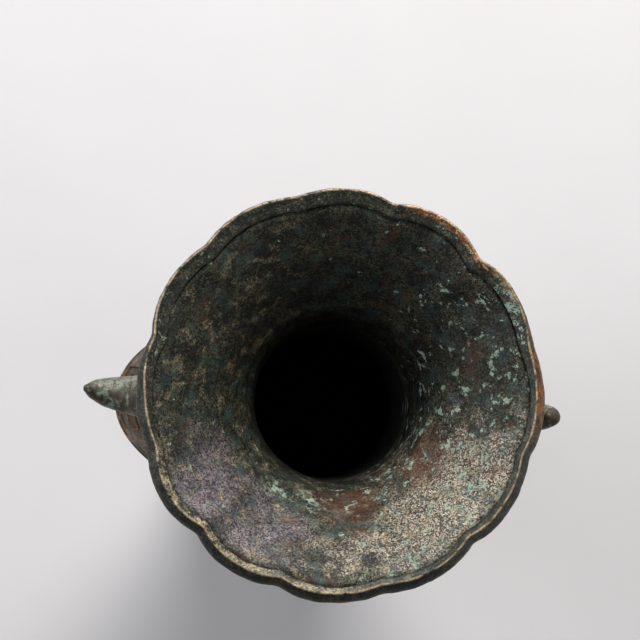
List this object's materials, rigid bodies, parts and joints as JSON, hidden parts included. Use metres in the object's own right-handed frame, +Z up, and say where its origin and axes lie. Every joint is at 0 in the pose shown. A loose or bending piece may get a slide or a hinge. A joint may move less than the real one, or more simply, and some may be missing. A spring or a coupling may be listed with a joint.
{
  "type": "bronze vase",
  "caption": "Cast bronze flower vase with a lobed trumpet mouth, flattened oval belly, lobed foot and an elephant-head lug on each side of the neck.",
  "frame": {"origin": "centre of the foot's underside, on the surface that the vase stands on", "axes": "+Z up along the vase's axis, +X through the right lug, +Y through the narrow side of the belly"},
  "size_m": [0.179, 0.14, 0.33],
  "materials": {
    "bronze_inside": "dark green-brown patina, worn",
    "bronze_outside": "brown patina with golden wear",
    "bronze_rim": "worn bronze edge",
    "bronze_lugs": "brown bronze with green verdigris"
  },
  "bodies": {
    "root": {"mouth_and_neck": "bronze_inside", "rim_band": "bronze_rim", "belly": "bronze_outside", "foot": "bronze_outside", "base_plate": "bronze_outside", "right_lug": "bronze_lugs", "left_lug": "bronze_lugs", "right_lug_upper_pin": "bronze_lugs", "right_lug_lower_pin": "bronze_lugs", "left_lug_upper_pin": "bronze_lugs", "left_lug_lower_pin": "bronze_lugs"}
  },
  "joints": []
}
